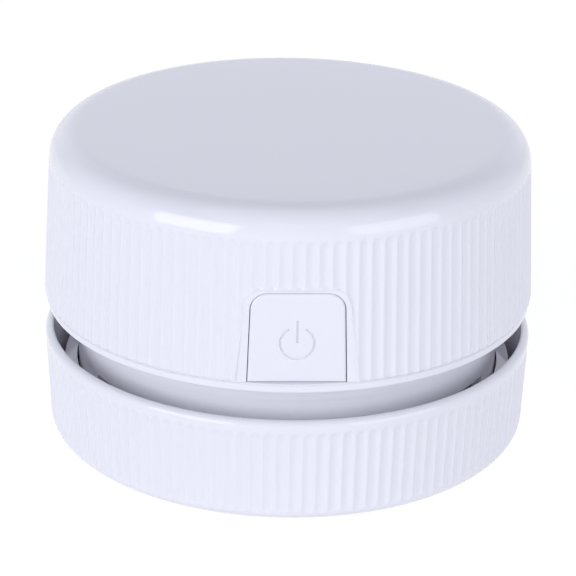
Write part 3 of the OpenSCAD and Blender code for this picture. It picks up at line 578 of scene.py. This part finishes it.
cap = {
    "draft": 1.2,         # mm that the wall leans in over its height
    "edgeRound": 5.1,
    "footRound": 0.4,
    "wall": 1.8,
    "fluteStart": 0.15,   # mm above the seam where the grooves begin
    "startReach": 0.25,   # mm in which they reach their depth
    "fluteEnd": 22.5,     # mm above the seam where they start to end
    "endReach": 1.8,
    "footGap": 0.1,       # mm of shadow line between the cap and the lip under it
    "facetDepth": 1.5,    # mm back from the wall's foot to the button's flat facet
    "facetTop": 15.8,
    "facetFootWidth": 18.9,
    "facetTopWidth": 16.7,
    "facetCorner": 3.2,
    "clear": (0.8, 0.1),  # mm added to the facet's two widths where the grooves stop beside it
    "clearReach": 0.3,    # mm in which they stop there
    # first and last height and number of the wall's rings, mm above the seam: closer where the grooves end
    "rows": [(0.7, 12.4, 11), (13, 17.8, 19), (19, 21, 2), (22.3, 24.2, 9)],
    # the facet's edge: mm out from it, mm wider at each side and mm higher
    "flare": [(0, 0, 0), (0.04, 0.03, 0.01), (0.31, 0.42, 0.05), (0.7, 0.8, 0.12), (2.6, 1.6, 0.4)],
}
button = {
    "width": 15.6,
    "height": 15.05,
    "footAbove": 0.04,    # mm above the seam
    "taper": 0.4,
    "corner": 2.7,
    "gap": 0.11,
    "proud": 0.1,         # mm in front of the facet
    "edgeRound": 0.45,
    "rim": 1.2,
    "rimThick": 0.8,
    "pad": 0.3,           # mm from the rim to the cap
    "stemRadius": 2.2,
    "stemBack": 5.5,      # mm from the wall's foot to the stem's end
    "signHeight": 6.74,   # mm above the button's foot
    "signRadius": 2.68,
    "signLine": 0.34,     # mm, engraved width
    "signDepth": 0.25,
    "signOpen": 29,       # degrees each side of upright
    "signBar": (0.05, 3.85),    # mm above the ring's middle
}
capTop = capHigh.z
capEdgeHeight = capTop - cap["edgeRound"] * mm
capLean = math.atan(cap["draft"] * mm / (capEdgeHeight - seamHeight))
capEdgeCentre = bodyRadius - cap["draft"] * mm - cap["edgeRound"] * mm / math.cos(capLean)
facetFront = bodyRadius - cap["facetDepth"] * mm
padFront = facetFront - cap["wall"] * mm


def capRadius(height):
    return bodyRadius - (height - seamHeight) * math.tan(capLean)


def tabRadius(centreHeight, footWidth, topWidth, height, corner, grow, angles, foot=0.0):
    # distance from a point on the tab's middle line to the tab's outline, at each angle: the nearest of its four
    # straight sides, and in the two top corners the far side of a circle; a side that lies level with the angle is
    # taken to be farAway
    level, farAway = 1e-6, 1e9
    half, halfTop = footWidth / 2 + grow, topWidth / 2 + grow
    lean = (half - halfTop) / (height - corner)
    top, low, corner = height + grow - centreHeight, foot - centreHeight, corner + grow
    c, s = np.cos(angles), np.sin(angles)
    across = np.abs(c) + lean * s
    side = np.where(across > level, (half - lean * centreHeight) / np.maximum(across, level), farAway)
    upper = np.where(s > level, top / np.maximum(s, level), farAway)
    lower = np.where(s < -level, low / np.minimum(s, -level), farAway)
    reach = np.minimum(np.minimum(side, upper), lower)
    cornerX, cornerZ = halfTop - corner, top - corner
    along = np.abs(c) * cornerX + s * cornerZ
    circle = along + np.sqrt(np.maximum(along ** 2 - cornerX ** 2 - cornerZ ** 2 + corner ** 2, 0))
    inCorner = (np.abs(c) * reach > cornerX) & (s * reach > cornerZ)
    return np.where(inCorner, np.minimum(reach, circle), reach)


def frontRing(angles, radii, height, depth):
    # points round a middle on the front, at one distance in front of the axis
    return np.stack([radii * np.cos(angles), np.full(len(angles), -depth), height + radii * np.sin(angles)], -1)


def buttonReach(grow, angles, foot=0.0):
    # the button's outline, made larger by that much
    return tabRadius(button["height"] * mm / 2, button["width"] * mm, (button["width"] - 2 * button["taper"]) * mm,
        button["height"] * mm, button["corner"] * mm, grow, angles, foot=foot)


def facetGap(turns, height):
    # distance from the wall's points to the facet's outline, in the facet's own plane; behind the body it is large
    x, z = bodyRadius * np.sin(turns + math.pi / 2), height - seamHeight
    middle = cap["facetTop"] * mm / 2
    angles = np.arctan2(z - middle, x)
    reach = tabRadius(middle, (cap["facetFootWidth"] + cap["clear"][0]) * mm,
        (cap["facetTopWidth"] + cap["clear"][1]) * mm, cap["facetTop"] * mm, cap["facetCorner"] * mm, 0, angles,
        foot=-20 * mm)
    away = np.hypot(x, z - middle) - reach
    return np.where(np.cos(turns + math.pi / 2) > 0, away, 1.0)


def makeCap():
    # a profile carried round the axis: closed foot, fluted wall, and rounded edge into a flat top
    foot = seamHeight + cap["footGap"] * mm
    footRound, edgeRound = cap["footRound"] * mm, cap["edgeRound"] * mm
    footCentre = capRadius(foot + footRound) - footRound
    heights = seamHeight + np.concatenate([np.linspace(*row) for row in cap["rows"]]) * mm
    wallTop = capEdgeHeight + edgeRound * math.sin(capLean)
    lower = np.concatenate([arc((footCentre, foot + footRound), footRound, -90, 0, 5),
        np.stack([capRadius(heights), heights], -1)])
    lower = lower[lower[:, 1] < wallTop - 0.05 * mm]
    edge = arc((capEdgeCentre, capEdgeHeight), edgeRound, math.degrees(capLean), 90, 21)
    outline = np.concatenate([lower, edge[:4]])
    fade = (endFade(outline[:, 1], seamHeight + cap["fluteEnd"] * mm, cap["endReach"] * mm)
        + endFade(-outline[:, 1], -foot - cap["fluteStart"] * mm, cap["startReach"] * mm))[:, None]
    gap = facetGap(fluteTurns[None], outline[:, 1:])
    fade = fade + flutes["fadeGain"] * np.clip(1 - gap / (cap["clearReach"] * mm), 0, 3)
    flat = [(capEdgeCentre * share, capTop) for share in (0.8, 0.4, 0)]
    upper = spin(np.concatenate([edge[4:], flat]), plainTurns)
    under = spin([(0, foot), (footCentre * 0.5, foot)], plainTurns)
    return addPiece("capShell", ringSkin(under + fluted(outline, fade) + upper))


def capTools():
    # the hollow, kept behind a flat pad at the front
    wall, past = cap["wall"] * mm, 1 * mm    # past: how far the tools reach beyond the surfaces
    inner = (cap["edgeRound"] - cap["wall"]) * mm
    turns = np.linspace(0, fullTurn, 256, endpoint=False)
    low = seamHeight - past
    heights = np.linspace(seamHeight, capEdgeHeight, 12)
    rings = spin(np.concatenate([[(0, low), (capRadius(low) - wall, low)],
        np.stack([capRadius(heights) - wall, heights], -1),
        arc((capEdgeCentre, capEdgeHeight), inner, math.degrees(capLean) + 4, 90, 9),
        [(0, capTop - wall)]]), turns)
    for ring in rings:
        ring[:, 1] = np.maximum(ring[:, 1], -padFront)
    hollow = addPiece("hollow", ringSkin(rings))
    # the facet, whose edge flares outwards
    angles = np.linspace(0, fullTurn, 360, endpoint=False)
    middle = cap["facetTop"] * mm / 2
    rings = []
    for out, wider, higher in cap["flare"]:
        reach = tabRadius(middle, (cap["facetFootWidth"] + 2 * wider) * mm, (cap["facetTopWidth"] + 2 * wider) * mm,
            (cap["facetTop"] + higher) * mm, cap["facetCorner"] * mm, 0, angles, foot=-past)
        rings.append(frontRing(angles, reach, seamHeight + middle, facetFront + out * mm))
    facet = addPiece("facet", capped(rings))
    # the button's opening
    reach = buttonReach(button["gap"] * mm, angles, foot=-1.2 * mm)
    middle = seamHeight + button["footAbove"] * mm + button["height"] * mm / 2
    rings = [frontRing(angles, reach, middle, depth) for depth in (padFront - past, bodyRadius + past)]
    opening = addPiece("opening", capped(rings))
    return hollow, facet, opening


capShell = makeCap()
for tool in capTools():
    cut(capShell, tool)
sharpen(capShell.data)
finishPiece(capShell, "cap", finish["shell"], ["top_cap"])
print("cap made:", len(capShell.data.polygons), "faces")


cup = {
    "draft": 0.65,        # mm that the wall leans in from the rim to the bottom round
    "edgeRound": 3.0,
    "rimRound": 1.1,
    "innerRound": 0.3,
    "wall": 1.4,
    "floorThick": 1.6,
    "chamfer": 2.0,
    "split": 38.6,        # radius where the fluted wall meets the floor
    "rimBand": 1.9,       # mm of plain wall under the rim
    "startReach": 1.3,    # mm in which the grooves reach their depth at the bottom round
    "endReach": 1.6,      # and in which they end under the rim
}
cupBottom, cupRim = cupLow.z, cupHigh.z
cupEdgeHeight = cupBottom + cup["edgeRound"] * mm
cupLean = math.atan(cup["draft"] * mm / (cupRim - cupEdgeHeight))


def cupRadius(height):
    return bodyRadius - (cupRim - height) * math.tan(cupLean)


def makeCup():
    # a closed profile carried round the axis: bottom round, fluted wall, rounded rim, inner wall and chamfer
    edgeRound, rimRound, inner = cup["edgeRound"] * mm, cup["rimRound"] * mm, cup["innerRound"] * mm
    wall, split, lean = cup["wall"] * mm, cup["split"] * mm, math.degrees(cupLean)
    edgeCentre = cupRadius(cupEdgeHeight) - edgeRound / math.cos(cupLean)
    rimCentre = cupRadius(cupRim - rimRound) - rimRound
    start = math.degrees(math.asin((split - edgeCentre) / edgeRound)) - 90
    bottom = arc((edgeCentre, cupEdgeHeight), edgeRound, start, -lean, 13)
    bandFoot = cupRim - cup["rimBand"] * mm
    heights = np.concatenate([np.linspace(cupEdgeHeight + 0.5 * mm, bandFoot - 1.8 * mm, 9),
        np.linspace(bandFoot - 1.5 * mm, bandFoot + 0.3 * mm, 9)])
    outline = np.concatenate([bottom[4:], np.stack([cupRadius(heights), heights], -1)])
    fade = (endFade(outline[:, 1], bandFoot - 0.8 * cup["endReach"] * mm, cup["endReach"] * mm)
        + endFade(-outline[:, 1], -cupEdgeHeight + 0.2 * mm, cup["startReach"] * mm))[:, None]
    inside = cupRadius(cupRim) - wall
    floorTop = cupBottom + cup["floorThick"] * mm
    chamferTop = floorTop + cup["chamfer"] * mm
    chamferOut = cupRadius(chamferTop) - wall
    meeting = floorTop + cup["chamfer"] * mm * (split - edgeCentre) / (chamferOut - edgeCentre)
    rim = np.concatenate([arc((rimCentre, cupRim - rimRound), rimRound, lean, 90, 9),
        arc((inside + inner, cupRim - inner), inner, 90, 180, 5), [(chamferOut, chamferTop), (split, meeting)]])
    rings = spin(bottom[:4], plainTurns) + fluted(outline, fade) + spin(rim, plainTurns)
    return addPiece("cupShell", ringSkin(rings, closed=True))


def makeCupFloor():
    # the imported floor, collar and guards inside the wall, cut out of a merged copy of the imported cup
    floor = addObject("cupFloor", nodes["dust_cup"].data.copy())
    floor.data.attributes.remove(floor.data.attributes["custom_normal"])
    work = bmesh.new()
    work.from_mesh(floor.data)
    bmesh.ops.remove_doubles(work, verts=work.verts, dist=0.0005 * mm)
    work.to_mesh(floor.data)
    work.free()
    split, low, high = cup["split"] * mm, -5 * mm, 30 * mm
    disc = spin([(0, low), (split, low), (split, high), (0, high)], plainTurns)
    cut(floor, addPiece("disc", ringSkin(disc)), "INTERSECT")
    return floor


cupShell, cupFloor = makeCup(), makeCupFloor()
for piece in (cupShell, cupFloor):
    sharpen(piece.data)
    finishPiece(piece, "dust_cup", finish["shell"], ["dust_cup"])
print("cup made:", len(cupShell.data.polygons), "and", len(cupFloor.data.polygons), "faces")


def makeButton():
    # from the stem's end forwards: stem, rim, sides, rounded edge and face, all round one middle
    angles = np.linspace(0, fullTurn, 480, endpoint=False)
    face, back = facetFront + button["proud"] * mm, padFront - button["pad"] * mm
    middle = seamHeight + (button["footAbove"] + button["height"] / 2) * mm
    stem, stemEnd = button["stemRadius"] * mm, bodyRadius - button["stemBack"] * mm
    lipBack = back - button["rimThick"] * mm
    rows = [(stem - 0.2 * mm, stemEnd), (stem, stemEnd + 0.2 * mm), (stem, lipBack)]
    rings = [frontRing(angles, np.full(len(angles), r), middle, d) for r, d in rows]
    rings.insert(0, capOff(rings[0]))
    for depth in (lipBack, back):
        ring = frontRing(angles, buttonReach(button["rim"] * mm, angles), middle, depth)
        room = np.sqrt((capRadius(ring[:, 2]) - (cap["wall"] + 0.1) * mm) ** 2 - depth ** 2)
        ring[:, 0] = np.clip(ring[:, 0], -room, room)
        rings.append(ring)
    rings.append(frontRing(angles, buttonReach(0, angles), middle, back))
    edge = button["edgeRound"] * mm
    for turn in np.radians(np.linspace(0, 90, 8)):
        inset = edge * (1 - math.cos(turn))
        depth = face - edge * (1 - math.sin(turn))
        rings.append(frontRing(angles, buttonReach(-inset, angles, inset), middle, depth))
    for share in (0.85, 0.5):
        rings.append(frontRing(angles, share * buttonReach(-edge, angles, edge), middle, face))
    rings.append(capOff(rings[-1]))
    return addPiece("powerButton", ringSkin(rings))


def signTool():
    # a ring open at the top and an upright bar, both narrower at the bottom of the engraving
    face = facetFront + button["proud"] * mm
    centre = seamHeight + (button["footAbove"] + button["signHeight"]) * mm
    halfLine = button["signLine"] * mm / 2
    # half widths as shares of half the line, and distances in front of the face
    deep, front = -button["signDepth"] * mm, 0.25 * mm
    section = [(-0.7, deep), (0.7, deep), (1.6, front), (-1.6, front)]
    turns = np.radians(np.linspace(90 + button["signOpen"], 450 - button["signOpen"], 73))
    rings = [frontRing(turns, button["signRadius"] * mm + wide * halfLine, centre, face + out)
        for wide, out in section]
    ringPart = capped(np.stack(rings, 1))
    bar = [[(wide * halfLine, -face - out, centre + height * mm) for wide, out in section]
        for height in button["signBar"]]
    return addPiece("sign", joined([ringPart, capped(np.array(bar))]))


powerButton = makeButton()
cut(powerButton, signTool())
sharpen(powerButton.data)
finishPiece(powerButton, "button", finish["shell"], ["power_button"])
print("button made:", len(powerButton.data.polygons), "faces")


brush = {                 # mm
    "thick": 1.3,         # backing
    "bristle": 0.075,     # radius
    "pitch": (0.21, 0.2),
    "half": (19.9, 0.7),  # tufts' half length and width at the backing
    "jitter": 0.06,
    "rooted": 0.1,        # how far they go into the backing
    "splay": 0.2,         # how far the tips lean out
    "uneven": 0.12,
}


def makeBrush(name, seed):
    # bristles stand on a loosely kept grid: each is four rings of four points whose middles lean out by the square
    # of the way to the tip
    low, high = (np.array(v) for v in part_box(name))
    centre = (low + high) / 2
    rng = np.random.default_rng(seed)
    stepX, stepY = brush["pitch"]
    x, y = np.meshgrid(np.arange(-brush["half"][0], brush["half"][0], stepX),
        np.arange(-brush["half"][1], brush["half"][1] + 0.01, stepY), indexing="ij")
    feet = np.stack([x.ravel(), y.ravel()], -1) + rng.uniform(-brush["jitter"], brush["jitter"], (x.size, 2))
    lean = rng.normal(0, brush["splay"] / 2, feet.shape).clip(-brush["splay"], brush["splay"])
    tip = low[2] / mm + rng.uniform(0, brush["uneven"], len(feet))
    root = high[2] / mm - brush["thick"] + brush["rooted"]
    way = np.array([0, 0.4, 0.75, 1.0])
    middles = np.empty((len(feet), 4, 3))
    middles[:, :, :2] = feet[:, None] + lean[:, None] * way[None, :, None] ** 2
    middles[:, :, 2] = root + (tip[:, None] - root) * way
    corners = brush["bristle"] * np.array([(1, 0, 0), (0, 1, 0), (-1, 0, 0), (0, -1, 0)])
    points = (middles[:, :, None] + corners) * mm + np.array([centre[0], centre[1], 0])
    base = np.arange(len(feet))[:, None, None] * 16 + np.arange(3)[None, :, None] * 4
    side = np.arange(4)[None, None]
    quads = np.stack([base + side, base + 4 + side, base + 4 + (side + 1) % 4, base + (side + 1) % 4], -1)
    ends = np.arange(len(feet))[:, None] * 16
    backing = boxSkin((low[0], low[1], high[2] - brush["thick"] * mm), high, 0.12 * mm)
    bristles = (points.reshape(-1, 3), [quads.reshape(-1, 4), ends + [0, 1, 2, 3], ends + [15, 14, 13, 12]])
    return addPiece(name + "Bristles", joined([bristles, backing]))


for seed, node in enumerate(("brush_front", "brush_rear")):
    piece = makeBrush(node, seed)
    sharpen(piece.data)
    finishPiece(piece, "dust_cup", finish["bristle"], [node])
print("brushes made:", len(piece.data.polygons), "faces each")


screen = {"pitch": 1.0, "thread": 0.12, "wave": 0.1, "rim": 0.05}   # mm; thread is its radius


def makeScreen():
    # plain weave: each thread rises and falls by a cosine of its way along, turned over from one thread to the next
    low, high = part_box("filter_mesh")
    radius, height = high.x / mm - screen["rim"], (low.z + high.z) / 2 / mm
    count = int(radius / screen["pitch"])
    threads = []
    for number in range(-count, count + 1):
        at = number * screen["pitch"]
        half = math.sqrt(radius ** 2 - at ** 2)
        way = np.arange(-2 * count, 2 * count + 1) * screen["pitch"] / 2
        way = np.concatenate([[-half], way[np.abs(way) < half - 0.1], [half]])
        wave = screen["wave"] * (1 if number % 2 else -1) * np.cos(math.pi * way / screen["pitch"])
        along = np.stack([way, np.full(len(way), at), height + wave], -1) * mm
        across = np.stack([np.full(len(way), at), way, height - wave], -1) * mm
        threads += [tubeSkin(path, screen["thread"] * mm, 4, (0, 0, 1)) for path in (along, across)]
    return addPiece("filterScreen", joined(threads))


piece = makeScreen()
finishPiece(piece, "filter", finish["mesh"], ["filter_mesh"])
print("screen made:", len(piece.data.polygons), "faces")


def coilPath(start, way, startRadius, endRadius, length, wire, turns):
    # a coil along Y: its middle line stays half a wire inside both ends, and way is the side it grows to
    t = np.linspace(0, 1, int(48 * turns))
    radius = startRadius + (endRadius - startRadius) * t
    turn = fullTurn * turns * t
    return np.stack([start[0] + radius * np.cos(turn), start[1] + way * (wire / 2 + (length - wire) * t),
        start[2] + way * radius * np.sin(turn)], -1) * mm


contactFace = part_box("bridge_contact")[0].y / mm
cellHeight, switchHeight = 34.8, 33.55    # mm, of the cells' and the switch's middle lines
cellSpring = {"radii": (4.4, 2.4), "length": 3.5, "wire": 0.6, "turns": 3, "slot": "nickel"}
springs = {
    "spring_left": {**cellSpring, "start": (-20, -contactFace, cellHeight), "way": 1},
    "spring_right": {**cellSpring, "start": (20, contactFace, cellHeight), "way": -1},
    "switch_spring": {"start": (0, -28, switchHeight), "way": 1, "radii": (1.2, 1.2), "length": 4.4,
        "wire": 0.35, "turns": 5, "slot": "steel", "pressed": 1.5},
}
for node, form in springs.items():
    path = coilPath(form["start"], form["way"], *form["radii"], form["length"], form["wire"], form["turns"])
    piece = addPiece(node + "Coil", tubeSkin(path, form["wire"] / 2 * mm, 14, (0, 1, 0)))
    sharpen(piece.data)
    finishPiece(piece, "motor_unit", finish["spring"], [node])
    if "pressed" in form:    # the spring that the button presses gets a mesh of its own
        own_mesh(piece)

leadRadius = 0.65    # mm, with its PVC
leads = {
    "lead_red": {"finish": "redLead", "route": [(16.6, -26.5, 42.4), (16.6, -25.15, 42.4), (15.6, -21.75, 44.4),
        (13.6, -16, 46.5), (10.8, -5, 48.6), (8.7, 0, 48.6), (7.3, 0, 48.6)]},
    "lead_black": {"finish": "blackLead", "route": [(-16.6, -26.5, 42.4), (-16.6, -25.15, 42.4),
        (-13, -22.5, 43.6), (-8, -19, 41.5), (-4.4, -17.4, 37.05), (-2.4, -18.4, switchHeight),
        (-2.4, -19.75, switchHeight)]},
    "lead_blue": {"finish": "blueLead", "route": [(2.4, -19.75, switchHeight), (2.4, -18.4, switchHeight),
        (2.4, -16.2, 36.55), (1.5, -15.2, 42.05), (-1.5, -14.4, 46.2), (-6, -11, 48.6), (-9.6, -4, 48.8),
        (-8.7, 0, 48.6), (-7.3, 0, 48.6)]},
}


def smoothPath(route, steps=10):
    # a cubic curve through the route's points, whose slope at each is half the step between its neighbours; past
    # both ends the route goes straight on
    route = np.array(route, float)
    route = np.concatenate([[2 * route[0] - route[1]], route, [2 * route[-1] - route[-2]]])
    a, b, c, d = (route[i:len(route) - 3 + i, None] for i in range(4))
    t = (np.arange(steps) / steps)[None, :, None]
    curve = 0.5 * (2 * b + (c - a) * t + (2 * a - 5 * b + 4 * c - d) * t ** 2 + (3 * b - a - 3 * c + d) * t ** 3)
    return np.concatenate([curve.reshape(-1, 3), route[-2:-1]]) * mm


for node, form in leads.items():
    path = smoothPath(form["route"])
    piece = addPiece(node + "Wire", tubeSkin(path, leadRadius * mm, 20, (0.31, 0.17, 0.94)))
    sharpen(piece.data)
    finishPiece(piece, "motor_unit", finish[form["finish"]], [node])
print("springs and leads made")


# lengths in mm; wire is its radius
winding = {"poles": 3, "layers": 4, "turns": 5, "wire": 0.2, "from": 3.3, "to": 5.3, "halfWide": 1.5,
    "halfHigh": 6.45, "layerWide": 0.4, "layerHigh": 0.2, "square": 0.35}


def makeWinding():
    # round each pole the wire goes in flattened loops, there and back along the pole, one layer over another:
    # u = a sgn(cos) |cos|^q across the pole and v = b sgn(sin) |sin|^q along the shaft, where a small q is squarer
    low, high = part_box("armature")
    middle = (low.z + high.z) / 2 / mm
    total = winding["layers"] * winding["turns"]
    t = np.linspace(0, total, total * 32 + 1)[:-1]
    layer = np.floor(t / winding["turns"])
    within = t / winding["turns"] - layer
    within = np.where(layer % 2 == 0, within, 1 - within)
    wire = winding["wire"]
    out = winding["from"] + wire + (winding["to"] - winding["from"] - 2 * wire) * within
    wide = winding["halfWide"] + wire + layer * winding["layerWide"]
    tall = winding["halfHigh"] + wire + layer * winding["layerHigh"]
    c, s = np.cos(fullTurn * t), np.sin(fullTurn * t)
    u = wide * np.sign(c) * np.abs(c) ** winding["square"]
    v = tall * np.sign(s) * np.abs(s) ** winding["square"]
    coils = []
    for pole in range(winding["poles"]):
        turn = math.pi / 2 + pole * fullTurn / winding["poles"]
        path = np.stack([out * math.cos(turn) - u * math.sin(turn), out * math.sin(turn) + u * math.cos(turn),
            middle + v], -1) * mm
        coils.append(tubeSkin(path, wire * mm, 6, (math.cos(turn), math.sin(turn), 0)))
    return addPiece("armatureCoils", joined(coils))


piece = makeWinding()
finishPiece(piece, "fan", finish["copper"], ["armature_winding"])
print("armature wound:", len(piece.data.polygons), "faces")


cell = {
    "length": 50.0,
    "film": (0.3, 48.6),     # mm from the flat end, where the film and its band begin and end
    "band": (34.0, 48.6),
    "filmHex": "#1D3557",
    "bandHex": "#B9BDC6",
    "metalHex": "#C9C8C4",
    # radius and distance from the flat end, from the flat end's middle round the shrunk film to the button
    "profile": [(0, 0), (5.1, 0), (5.35, 0.12), (5.5, 0.4), (5.8, 0.4), (5.95, 0.12), (6.5, 0.08), (6.9, 0.22),
        (7.06, 0.5), (7.1, 0.9), (7.1, 24), (7.1, 47.9), (7.05, 48.35), (6.85, 48.7), (6.45, 48.88), (6.0, 48.84),
        (5.85, 48.5), (5.4, 48.35), (3.1, 48.45), (2.85, 48.6), (2.7, 48.85), (2.7, 49.65), (2.6, 49.9), (2.35, 50),
        (0, 50)],
}


def makeCell(name, centreX, way):
    # its profile carried round an axis that lies along Y, and way is the side that its button points to
    def placed(along):
        return way * (contactFace - cell["length"] + along)

    rings = []
    for ring in spin(cell["profile"], np.linspace(0, fullTurn, 96, endpoint=False)):
        across, up, along = ring.T
        rings.append(np.stack([centreX + across, placed(along), cellHeight + up], -1) * mm)
    ends, bandAt = ([placed(along) * mm for along in cell[part]] for part in ("film", "band"))
    piece = addPiece(name, ringSkin(rings))
    material = cellWrap(name + "FilmShrunkPvc", cell["filmHex"], cell["bandHex"], cell["metalHex"], ends, bandAt)
    return piece, material


for node, centreX, way in (("cell_left", -20, 1), ("cell_right", 20, -1)):
    piece, material = makeCell(node + "Wrapped", centreX, way)
    sharpen(piece.data)
    finishPiece(piece, "motor_unit", material, [node])
print("cells made")
